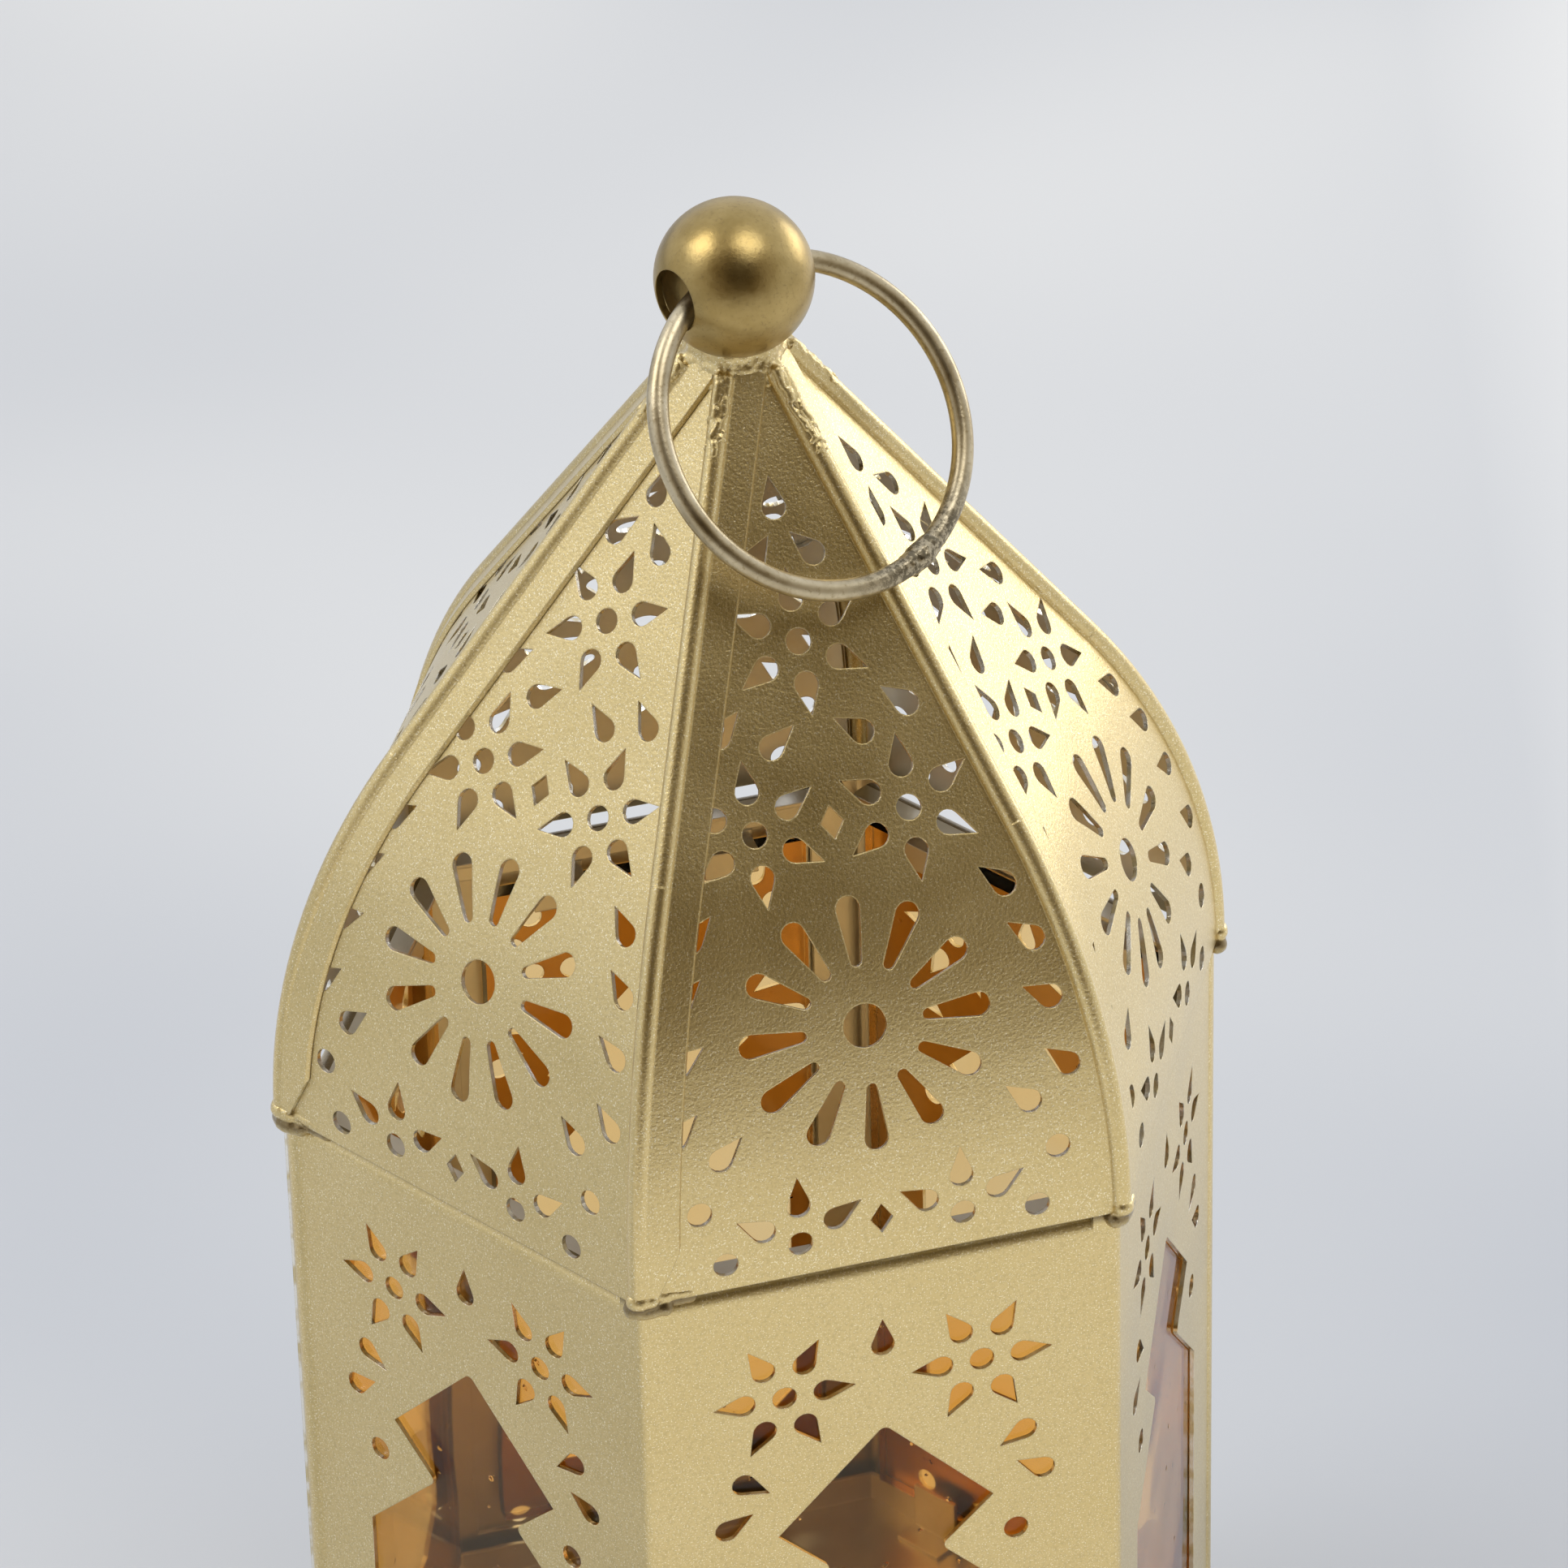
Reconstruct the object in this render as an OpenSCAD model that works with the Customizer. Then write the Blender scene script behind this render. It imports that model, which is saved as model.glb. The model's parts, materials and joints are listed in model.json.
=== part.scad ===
// Six-sided candle lantern of pierced sheet metal, with amber glass, a rear door and a carrying ring.
// Front is -Y. Corners lie on the X axis and every 60 degrees from it.
// Face 0 looks to the front, and the faces count anticlockwise seen from above; face 3 holds the door.

/* [Sheet metal] */
// Thickness of the sheet
sheet = 0.5; // [0.4:0.1:0.7]
// Gap between lapped sheets
lap_gap = 0.05; // [0.03:0.01:0.1]

/* [Body] */
// Width across the body's corners
body_w = 100.6; // [98:0.2:106]
// Height of the body from the base to the eave
body_h = 98; // [94:1:125]
// Outer radius of the bends between the faces
corner_bend = 1.5; // [1.2:0.1:2]
// Radius of the solid roll that closes each side seam
seam_roll = 1.8; // [1.7:0.1:2.2]
// Width of the seam's lap on the rear faces
seam_lap = 4.5; // [3:0.5:6]
// Outer radius of the bend along the top of each face
shoulder_r = 2.2; // [1.5:0.1:2.6]
// Height of the shoulder above the roof's edge
shoulder_rise = -0.3; // [-0.5:0.1:0.6]
// Reach of the ledge inward from the shoulder bend
ledge_w = 2.4; // [2:0.2:6]
// Bare length left at each corner where the shoulder stops
shoulder_stop = 2.8; // [2:0.1:5]

/* [Roof] */
// Radius of the bow in the lower part of each roof panel
roof_bow = 72; // [64:1:84]
// Slope of the roof's upper part, from upright
roof_pitch = 34.3; // [32:0.1:38]
// Gap between the roof's edge and the body
roof_fit = 0.1; // [0.05:0.05:0.3]
// Distance from the middle to the panels' top edge
neck = 3.5; // [3.3:0.1:4]
// Diameter of the roll on each ridge
ridge_roll = 2.2; // [1.8:0.1:2.8]
// Sink of each ridge's roll into the corner at the eave
roll_sink = 0.5; // [0:0.1:0.5]
// Width of the lap beside each ridge
ridge_lap = 4.5; // [3.5:0.1:6]

/* [Pierced pattern] */
// Radius of a drop's round end
drop_r = 1.25; // [1:0.05:1.5]
// Distance from a drop's round end to its tip
drop_len = 3.2; // [2.6:0.1:3.8]
// Distance from a flower's middle to its petals' round ends
petal_reach = 4.3; // [3.8:0.1:4.8]
// Radius of the small round holes
dot_r = 1.3; // [1:0.05:1.5]
// Radius of the sunburst's middle hole
sun_r = 2.25; // [1.5:0.05:3]
// Number of rays in the sunburst
sun_rays = 12; // [8:1:14]
// Radius of a ray's outer end
ray_r = 1.25; // [0.8:0.05:1.5]
// Radius of a ray's inner end
ray_tip = 0.6; // [0.4:0.05:0.8]
// Distance from the sunburst's middle to the rays' inner ends
ray_in = 6.6; // [5.5:0.1:8]
// Distance from the sunburst's middle to the rays' outer ends
ray_out = 11.8; // [10:0.1:13]

/* [Windows] */
// Distance from the eave to the window's point
window_drop = 21.2; // [20:0.2:26]
// Width across the window's head
head_w = 23; // [18:0.5:26]
// Width across the window's neck
neck_w = 12.4; // [8:0.2:16]
// Width of the window below its neck
window_w = 31.6; // [28:0.2:34]
// Height of the window's sill above the base
sill_h = 13; // [11:0.5:18]
// Radius of the window's point and of its inner corners
window_round = 0.8; // [0.4:0.1:1.2]

/* [Glass] */
// Thickness of the panes
glass_t = 2; // [1.5:0.5:2.5]
// Gap round each pane
glass_fit = 0.1; // [0.05:0.05:0.2]
// Distance from the eave to the top of the fixed panes
glass_drop = 5; // [4.5:0.1:6.5]
// Length of a tab along the pane's edge
tab_w = 6; // [4:0.5:10]
// Reach of a tab over the pane's edge
tab_hold = 2.5; // [2:0.1:4]

/* [Door] */
// Width of the frame on the hinge side
hinge_stile = 6; // [5.7:0.1:6.4]
// Width of the frame on the catch's side
catch_stile = 3.9; // [3.4:0.1:4.4]
// Height of the frame below the opening
door_sill = 5; // [4.6:0.1:7]
// Distance from the eave to the opening
door_drop = 5.2; // [4:0.1:6]
// Overlap of the door over its frame
door_lap = 1.5; // [1:0.1:1.6]
// Gap between the door and its frame
door_gap = 0.4; // [0.3:0.05:0.6]
// Outer diameter of the hinge knuckles
knuckle_d = 2.4; // [2.2:0.1:2.8]
// Diameter of the hinge pins
pin_d = 1.2; // [1:0.1:1.4]
// Clearance round the hinge pins
pin_fit = 0.15; // [0.1:0.05:0.2]
// Length of one hinge, of three knuckles
hinge_l = 12; // [10:0.5:16]
// Distance from the door's ends to the hinges
hinge_inset = 12; // [9:0.5:18]
// Diameter of the door's knob
knob_d = 6; // [5:0.2:8]
// Distance of the knob from the door's face
knob_reach = 6.5; // [5:0.5:9]

/* [Finial and ring] */
// Diameter of the ball
ball_d = 16; // [14:0.5:19]
// Thickness of the ball's wall
ball_wall = 0.8; // [0.6:0.1:1.2]
// Diameter of the hole across the ball
ball_hole = 6.4; // [6:0.1:7.5]
// Turn of the ball's hole away from the lantern's side
ball_turn = 20.6; // [10:0.2:30]
// Diameter of the ring, middle to middle of its wire
ring_d = 33.8; // [30:0.2:40]
// Diameter of the ring's wire
ring_wire = 2.2; // [1.8:0.1:2.6]
// Gap between the resting ring and what holds it
ring_gap = 0.35; // [0.3:0.05:0.6]
// Distance that the ring has slid along the hole
ring_slide = 1.2; // [0:0.1:1.6]

/* [Base] */
// Height of the base
base_h = 12; // [9:0.5:18]
// Reach of the base outside the body's corners, at its foot
base_flare = 6; // [3:0.5:9]
// Radius of the rolled edge at the base's foot
hem_r = 1; // [0.8:0.1:1.4]
// Height of the floor's upturned rim
floor_rim = 4; // [3:0.2:4.4]
// Inside diameter of the candle cup
cup_d = 40; // [39.5:0.5:44]
// Height of the candle cup
cup_h = 9; // [6:0.5:14]
// Radius of the candle cup's rolled lip
lip_r = 0.8; // [0.6:0.1:1]
// Diameter of the two rivets that hold the cup, sunk flush in the cup's floor
rivet_d = 3; // [2.5:0.5:4]
// Distance of each rivet from the cup's middle
rivet_place = 9; // [6:0.5:12]

/* [Hidden] */
$fn = 48;

SIDES = 6;
STEP = 360 / SIDES;
DOOR_FACE = 3;
T = tan(STEP / 2);
FAR = 200;

// Body: a is the distance from the middle to a face's outer side
body_a = body_w / 2 * cos(STEP / 2);
eave_z = base_h + body_h;
face_half = body_a * T;
flat_half = (body_a - corner_bend) * T;
shoulder_half = face_half - shoulder_stop;
shoulder_top = eave_z + shoulder_rise;
corner_top = eave_z - lap_gap;

// Roof: panels bow inward from the eave, then run straight to the neck
roof_a = body_a + roof_fit + sheet;
bow_len = roof_bow * roof_pitch * PI / 180;
bow_top_a = roof_a - roof_bow * (1 - cos(roof_pitch));
bow_top_z = roof_bow * sin(roof_pitch);
slope_len = (bow_top_a - neck) / sin(roof_pitch);
roof_len = bow_len + slope_len;
roof_top_z = eave_z + bow_top_z + slope_len * cos(roof_pitch);
ridge_clear = (ridge_roll / 2 + 2 * lap_gap) / cos(STEP / 2);
roll_stop = 1.8;
lap_stop = 0.8;
roll_bite = 0.2;

// Ridge: its foot at the eave, its knee where the bow ends, and the bow of the roll between them,
// which runs into the straight part without a kink
ridge_foot = [roof_a / cos(STEP / 2), 0];
ridge_knee = [bow_top_a / cos(STEP / 2), bow_top_z];
ridge_pitch = atan(tan(roof_pitch) / cos(STEP / 2));
ridge_run = slope_len * cos(roof_pitch) / cos(ridge_pitch);
knee_in = [-cos(ridge_pitch), -sin(ridge_pitch)];
roll_foot = ridge_foot - [roll_sink, 0];
knee_to_foot = roll_foot - ridge_knee;
roll_bow = knee_to_foot * knee_to_foot / (2 * knee_to_foot * knee_in);
roll_mid = ridge_knee + roll_bow * knee_in;

// Pierced pattern of a roof panel, [across from the middle, up from the eave, turn of the tip],
// drawn for a panel 51 wide at the eave and 93.2 long, and spread to the panel's real size
across = roof_a * T / 25.5;
along = roof_len / 93.2;
roof_drops = [[3.1, 73.1, 130], [4.7, 54.8, 146], [9.7, 56.8, 139], [16.2, 37.4, 139],
              [18.3, 31.5, 141], [19.3, 25.3, 152], [20.4, 18, 139], [16.1, 14.8, 139]];
roof_dots = [[18.7, 9.3], [16.3, 3]];
roof_diamonds = [46.5, 4.9];
top_drop = 78.2;
top_flower = 64.7;
pair_flower = [7.95, 46.6];
foot_flower = [8.5, 3.8];
sun_up = 25.9;
punch_deep = 3;
punch_high = 1.5;
diamond = [1.2, 1.7];

// Pierced pattern of a body face, [across from the middle, down from the eave, turn of the tip]
spread = face_half / 25.15;
face_drops = [[15, 25.2, 211], [16.9, 30.6, 152]];
face_dot = [13.9, 37.6];
face_flower = [10.45, 15.3];
face_top_drop = 11.1;
foot_row = 6.5;
foot_drop = 6;
foot_dot = 16;
head_down = window_drop + head_w / 2;
neck_down = head_down + (head_w - neck_w) / 2;
wide_down = neck_down + (window_w - neck_w) / 2;
sill_cut = 4;

// Floor, glass and tabs
glass_out = body_a - sheet - glass_fit;
glass_in = glass_out - glass_t;
floor_z = base_h + sheet;
rim_top = base_h + floor_rim;
glass_foot = rim_top + glass_fit;
glass_top = eave_z - glass_drop;
glass_half = flat_half - seam_roll - 2 * glass_fit;
tab_place = glass_half - tab_w * 1.5;
tab_foot = 3.4;
tab_top = shoulder_top - shoulder_r - glass_fit;

// Door, in the frame of its face: across to the right seen from outside, n is out from the body
door_left = -face_half + hinge_stile;
door_opening_w = 2 * face_half - hinge_stile - catch_stile;
door_right = door_left + door_opening_w;
opening_foot = base_h + door_sill;
opening_top = eave_z - door_drop;
door_foot = opening_foot - door_lap;
door_top = opening_top + door_lap;
hinge_n = door_gap + knuckle_d / 2;
hinge_u = door_left - door_lap - knuckle_d / 2;
knuckle_l = hinge_l / 3;
knuckle_gap = 0.3;
hinge_places = [door_foot + hinge_inset, door_top - hinge_inset];
catch_gap = 0.75;
catch_t = 0.3;
catch_in = 2.6;
catch_foot = 1.6;
catch_w = 7;
catch_clear = 0.4;
catch_drop = 14;
door_glass_gap = 0.95;
door_glass_rise = 2.2;
door_glass_fall = 2;
door_glass_left = door_left + door_glass_gap;
door_glass_right = door_right - catch_gap - catch_t - catch_foot - catch_clear;
door_glass_mid = (door_glass_left + door_glass_right) / 2;
door_glass_foot = opening_foot + door_glass_rise;
door_glass_top = opening_top - door_glass_fall;
door_tab_foot = 1.5;
knob_u = (window_w / 2 + door_right) / 2 + 0.4;
knob_z = (door_foot + door_top) / 2;
knob_stem = 2;
knob_neck = 1.2;
washer_d = 5.6;
washer_t = 0.6;
catch_z = knob_z - catch_drop;

// Finial and ring
ball_r = ball_d / 2;
ball_z = roof_top_z + sqrt(ball_r * ball_r - neck * neck) + lap_gap;
ring_r = ring_d / 2;
wire_r = ring_wire / 2;
mouth = ball_r * cos(asin(ball_hole / 2 / ball_r)) + ring_slide;
arc_drop = ring_r - sqrt(ring_r * ring_r - mouth * mouth);
hook_down = ring_r - (arc_drop - (ball_hole / 2 - wire_r - ring_gap));
ring_lean = lean_for(12, 89, 16);
rivet_hole = 3.2;
plug_down = 4.6;
rivet_head_r = 2.3;
plug_t = 0.8;
plug_r = neck + (plug_down - plug_t) * tan(roof_pitch) - (sheet + 2 * lap_gap) / cos(roof_pitch);

// Base
skirt_top_r = body_w / 2 + 1.2;
skirt_foot_r = body_w / 2 + base_flare;
skirt_ledge = 7;
hem_flat = hem_r * cos(11.25);
cup_wall = 0.5;

// Points of the ring, and how far its wire is from the roof, for a lean from upright
function turned(v, a) = [v.x * cos(a) - v.y * sin(a), v.x * sin(a) + v.y * cos(a), v.z];
function ring_point(lean, t) = turned(
    [ring_slide + ring_r * cos(t),
     -(hook_down + ring_r * sin(t)) * sin(lean),
     ball_z - (hook_down + ring_r * sin(t)) * cos(lean)], ball_turn);
function slope_a(z) = let(h = z - eave_z)
    h > bow_top_z ? bow_top_a - (h - bow_top_z) * tan(roof_pitch)
                  : roof_a - roof_bow + sqrt(max(0, roof_bow * roof_bow - h * h));
function ridge_gap(p) = let(
    k = round(atan2(p.y, p.x) / STEP) * STEP,
    out = p.x * cos(k) + p.y * sin(k) - slope_a(p.z) / cos(STEP / 2),
    side = -p.x * sin(k) + p.y * cos(k),
    steep = cos(atan(tan(roof_pitch) / cos(STEP / 2))))
    norm([out * steep, side]) * sign(out) - ridge_roll / 2;
function face_gap(p) = let(
    k = (floor(atan2(p.y, p.x) / STEP) + 0.5) * STEP)
    (p.x * cos(k) + p.y * sin(k) - slope_a(p.z)) * cos(roof_pitch) - sheet - lap_gap;
function wire_gap(lean) = min([for (t = [30 : 3 : 150])
    let(p = ring_point(lean, t)) min(ridge_gap(p), face_gap(p))]) - wire_r;
function lean_for(low, high, n) = n == 0 ? high :
    let(mid = (low + high) / 2)
    wire_gap(mid) > ring_gap ? lean_for(low, mid, n - 1) : lean_for(mid, high, n - 1);

// A face's own frame: X to the right seen from outside, Z up, the outside towards -Y
module face(k) { rotate([0, 0, k * STEP]) children(); }

// A flat drawing, X across and Y up, made a plate whose outer side is n outside the body
module plate(n, t) {
    translate([0, -(body_a + n - t), 0]) rotate([90, 0, 0]) linear_extrude(t) children();
}

// A drawing of X out from the middle and Y up, drawn out along the face
module along_face(l) {
    rotate([0, 0, -90]) rotate([90, 0, 0]) linear_extrude(l, center = true) children();
}

// The part of the plan that one face owns, less a strip on its left and on its right
module face_plan(left, right) {
    linear_extrude(FAR * 2)
        polygon([[left, 0], [left - FAR * T, -FAR], [FAR * T - right, -FAR], [-right, 0],
                 [(left - right) / 2, (left + right) / 2 / T]]);
}

module mirrored() {
    children();
    mirror([1, 0, 0]) children();
}

// Points along an arc of n short sides
function arc(c, r, a0, a1, n) =
    [for (i = [0 : n]) let(a = a0 + (a1 - a0) * i / n) c + r * [cos(a), sin(a)]];

// Punched shapes, drawn flat. Their round ends are short straight cuts, as a nibbling punch leaves
module tapered_slot(r1, r2, l) {
    a = asin((r1 - r2) / l);
    polygon(concat(arc([0, 0], r1, 90 - a, 270 + a, 10),
                   r2 > 0 ? arc([l, 0], r2, a - 90, 90 - a, 6) : [[l, 0]]));
}

module drop(turn) { rotate(turn) tapered_slot(drop_r, 0, drop_len); }

module dot() { polygon(arc([0, 0], dot_r, 0, 345, 23)); }

module lozenge() {
    polygon([[0, diamond.y], [-diamond.x, 0], [0, -diamond.y], [diamond.x, 0]]);
}

module flower(turns) {
    dot();
    for (a = turns) rotate(a) translate([petal_reach, 0]) drop(0);
}

module sunburst() {
    polygon(arc([0, 0], sun_r, 0, 350, 35));
    for (i = [0 : sun_rays - 1])
        rotate(90 + i * 360 / sun_rays) translate([ray_out, 0]) rotate(180)
            tapered_slot(ray_r, ray_tip, ray_out - ray_in);
}

// Roof panel ------------------------------------------------------------------------------------

// Section of the roof between two distances outside its skin
module roof_band(low, high) {
    translate([roof_a - roof_bow, eave_z]) {
        intersection() {
            difference() {
                circle(r = roof_bow + high, $fn = 360);
                circle(r = roof_bow + low, $fn = 360);
            }
            polygon([[0, 0], [2 * roof_bow, 0], 2 * roof_bow * [cos(roof_pitch), sin(roof_pitch)]]);
        }
        rotate(roof_pitch) translate([roof_bow + low, 0]) square([high - low, slope_len]);
    }
}

// Puts a flat drawing on the roof's skin, s up the panel from the eave
module on_roof(s) {
    a = min(s, bow_len) / roof_bow * 180 / PI;
    past = max(0, s - bow_len);
    translate([0, -(roof_a - roof_bow * (1 - cos(a)) - past * sin(roof_pitch)),
               eave_z + roof_bow * sin(a) + past * cos(roof_pitch)])
        rotate([90 - a, 0, 0]) children();
}

// Cuts a flat drawing through the roof, deep enough for the bow to fall away beneath it
module punch(s) {
    on_roof(s * along) translate([0, 0, -punch_deep]) linear_extrude(punch_deep + punch_high) children();
}

module roof_piercing() {
    punch(top_drop) drop(90);
    punch(top_flower) flower([30 : 60 : 330]);
    punch(sun_up) sunburst();
    for (s = roof_diamonds) punch(s) lozenge();
    punch(pair_flower.y) mirrored() translate([pair_flower.x * across, 0]) flower([30 : 60 : 330]);
    punch(foot_flower.y) mirrored() translate([foot_flower.x * across, 0]) flower([30 : 60 : 150]);
    for (d = roof_drops) punch(d.y) mirrored() translate([d.x * across, 0]) drop(d.z);
    for (d = roof_dots) punch(d.y) mirrored() translate([d.x * across, 0]) dot();
}

// The upright plane through a panel's right ridge: X out from the middle, Y up from the eave
module ridge_plane() {
    rotate([0, 0, STEP / 2 - 90]) translate([0, 0, eave_z]) rotate([90, 0, 0]) children();
}

// The solid roll along a panel's right ridge: an arc up the bowed part, then a straight run
module ridge_roll_solid() {
    turn = atan2(roll_foot.y - roll_mid.y, roll_foot.x - roll_mid.x);
    ridge_plane() {
        translate(roll_mid) rotate([0, 0, turn]) rotate_extrude(angle = ridge_pitch - turn)
            translate([roll_bow, 0]) circle(d = ridge_roll);
        translate(ridge_knee) rotate([0, 0, ridge_pitch]) rotate([-90, 0, 0])
            cylinder(h = ridge_run - roll_stop, d = ridge_roll);
    }
}

// The lap beside the ridge, which lies on the next panel and runs out to a point at the eave
module ridge_lap_solid() {
    half = roof_a * T;
    face(1) intersection() {
        difference() {
            along_face(FAR) roof_band(lap_gap, lap_gap + sheet);
            translate([ridge_lap, 0, 0]) face_plan(0, -FAR);
            translate([-FAR, -FAR, roof_top_z - lap_stop]) cube(2 * FAR);
            translate([0, 0, eave_z]) rotate([90, 0, 0]) linear_extrude(FAR)
                polygon([[1.5 - half, -1], [1.5 - half, 0],
                         [ridge_lap - half + 1, 8], [ridge_lap - half + 1, -1]]);
        }
        face_plan(roll_bite, ridge_clear);
    }
}

module roof_panel(k) {
    color("darkkhaki") face(k) {
        difference() {
            intersection() {
                along_face(FAR) roof_band(-sheet, 0);
                face_plan(ridge_clear, roll_bite);
            }
            roof_piercing();
        }
        ridge_roll_solid();
        ridge_lap_solid();
    }
}

// Body shells -----------------------------------------------------------------------------------

module rounded_corner(p, r) { translate(p) circle(r = r, $fn = 24); }

// Window outline with its point up, its head, its neck and its wide part
module window() {
    r = window_round;
    sill = sill_h - body_h;
    difference() {
        union() {
            polygon([[-r * sin(45), -window_drop - r * sin(45)], [-head_w / 2, -head_down],
                     [-neck_w / 2 - r * (1 - sin(45)), -neck_down + r * sin(45)],
                     [-neck_w / 2 - r * (1 - sin(45)), -neck_down - r * sin(45)],
                     [-window_w / 2, -wide_down], [-window_w / 2, sill + sill_cut],
                     [-window_w / 2 + sill_cut, sill], [window_w / 2 - sill_cut, sill],
                     [window_w / 2, sill + sill_cut], [window_w / 2, -wide_down],
                     [neck_w / 2 + r * (1 - sin(45)), -neck_down - r * sin(45)],
                     [neck_w / 2 + r * (1 - sin(45)), -neck_down + r * sin(45)],
                     [head_w / 2, -head_down], [r * sin(45), -window_drop - r * sin(45)]]);
            rounded_corner([0, -window_drop - r * sqrt(2)], r);
        }
        mirrored() rounded_corner([neck_w / 2 + r, -neck_down], r);
    }
}

// Everything punched through a body face, measured down from the eave
module face_piercing() {
    window();
    translate([0, -face_top_drop]) drop(90);
    translate([0, foot_row - body_h]) lozenge();
    mirrored() {
        translate([face_flower.x * spread, -face_flower.y]) flower([0 : 60 : 300]);
        for (d = face_drops) translate([d.x * spread, -d.y]) drop(d.z);
        translate([face_dot.x * spread, -face_dot.y]) dot();
        translate([foot_drop, foot_row - body_h]) drop(0);
        translate([foot_dot * spread, foot_row - body_h]) dot();
    }
}

// Plan of the body, in from its outer side by a distance, with round corners
module body_plan(in) {
    r = corner_bend - in;
    middle = (body_a - corner_bend) / cos(STEP / 2);
    for (k = [0 : SIDES - 1]) rotate(k * STEP) translate([middle, 0]) circle(r = r);
    polygon([for (k = [0 : SIDES - 1], side = [-1, 1]) let(a = k * STEP, b = a + side * STEP / 2)
        middle * [cos(a), sin(a)] + r * [cos(b), sin(b)]]);
}

// The body's wall, cut down along each face to where its shoulder starts
module body_wall() {
    difference() {
        translate([0, 0, base_h]) linear_extrude(corner_top - base_h) difference() {
            body_plan(0);
            body_plan(sheet);
        }
        for (k = [0 : SIDES - 1]) face(k) translate([-shoulder_half, -FAR, shoulder_top - shoulder_r])
            cube([2 * shoulder_half, FAR, FAR]);
    }
}

// A flat drawing, measured from the eave, cut right through the wall of face k
module pierce(k) {
    face(k) plate(sheet, 3 * sheet) translate([0, eave_z]) children();
}

// Bend along the top of a face, and the ledge that runs inward from it
module shoulder(k) {
    face(k) intersection() {
        along_face(2 * shoulder_half) translate([body_a - shoulder_r, shoulder_top - shoulder_r]) {
            intersection() {
                difference() {
                    circle(r = shoulder_r);
                    circle(r = shoulder_r - sheet);
                }
                square(shoulder_r);
            }
            translate([-ledge_w, shoulder_r - sheet]) square([ledge_w, sheet]);
        }
        face_plan(sheet, sheet);
    }
}

// Solid roll at a seam corner, on the end of face k; side is 1 at its right end and -1 at its left
module seam(k, side) {
    face(k) mirror([side < 0 ? 1 : 0, 0, 0]) {
        translate([flat_half, -(body_a - corner_bend), base_h])
            cylinder(h = corner_top - base_h, r = seam_roll);
        face(1) plate(lap_gap + sheet, sheet) translate([-flat_half - 0.4, base_h + 0.3])
            square([seam_lap + 0.4, shoulder_top - shoulder_r - base_h - 0.3]);
    }
}

module front_shell() {
    color("tan") {
        difference() {
            body_wall();
            translate([-FAR, 0, 0]) cube([2 * FAR, FAR, FAR]);
            for (k = [-1 : 1]) pierce(k) face_piercing();
        }
        for (k = [-1 : 1]) shoulder(k);
        seam(1, 1);
        seam(-1, -1);
    }
}

// Room round the two solid seam rolls
module seam_room() {
    middle = (body_a - corner_bend) / cos(STEP / 2);
    for (x = [-middle, middle]) translate([x, 0, 0]) cylinder(h = FAR, r = seam_roll + 2 * lap_gap);
}

module rear_shell() {
    color("tan") {
        difference() {
            body_wall();
            translate([-FAR, -FAR, 0]) cube([2 * FAR, FAR, FAR]);
            seam_room();
            for (k = [DOOR_FACE - 1, DOOR_FACE + 1]) pierce(k) face_piercing();
            pierce(DOOR_FACE) translate([door_left, opening_foot - eave_z])
                square([door_opening_w, opening_top - opening_foot]);
        }
        for (k = [DOOR_FACE - 1 : DOOR_FACE + 1]) shoulder(k);
    }
}

// Glass -----------------------------------------------------------------------------------------

module pane(k) {
    color("darkorange", 0.8) face(k) plate(glass_out - body_a, glass_t)
        translate([-glass_half, glass_foot]) square([2 * glass_half, glass_top - glass_foot]);
}

// Upper tab: a foot soldered to the wall, a step over the pane's edge and a leg down its inside
module upper_tab() {
    polygon([[body_a - sheet, tab_top], [body_a - 2 * sheet, tab_top],
             [body_a - 2 * sheet, glass_top + glass_fit + sheet],
             [glass_in - glass_fit - sheet, glass_top + glass_fit + sheet],
             [glass_in - glass_fit - sheet, glass_top - tab_hold], [glass_in - glass_fit, glass_top - tab_hold],
             [glass_in - glass_fit, glass_top + glass_fit], [body_a - sheet, glass_top + glass_fit]]);
}

// Lower tab: a foot soldered to the floor and a leg up the pane's inside
module lower_tab() {
    translate([glass_in - glass_fit - tab_foot, floor_z]) square([tab_foot, sheet]);
    translate([glass_in - glass_fit - sheet, floor_z]) square([sheet, glass_foot + tab_hold - floor_z]);
}

module glass_tabs() {
    color("silver") for (k = [0, 1, 2, 4, 5]) face(k) mirrored() translate([tab_place, 0, 0]) along_face(tab_w) {
        upper_tab();
        lower_tab();
    }
}

// Door ------------------------------------------------------------------------------------------

module hinge_barrel(z, l) {
    translate([hinge_u, -(body_a + hinge_n), z - l / 2]) difference() {
        cylinder(h = l, d = knuckle_d);
        translate([0, 0, -1]) cylinder(h = l + 2, r = pin_d / 2 + pin_fit);
    }
}

module door_panel() {
    color("tan") face(DOOR_FACE) difference() {
        union() {
            plate(door_gap + sheet, sheet) difference() {
                translate([door_left - door_lap, door_foot])
                    square([door_opening_w + 2 * door_lap, door_top - door_foot]);
                translate([0, eave_z]) face_piercing();
                translate([knob_u, knob_z]) circle(d = knob_stem);
            }
            for (z = hinge_places) {
                plate(door_gap + sheet, sheet) translate([hinge_u, z - knuckle_l / 2])
                    square([door_left - door_lap - hinge_u, knuckle_l]);
                hinge_barrel(z, knuckle_l);
            }
        }
        for (z = hinge_places) translate([hinge_u, -(body_a + hinge_n), z - knuckle_l])
            cylinder(h = 2 * knuckle_l, r = pin_d / 2 + pin_fit);
    }
}

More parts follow.
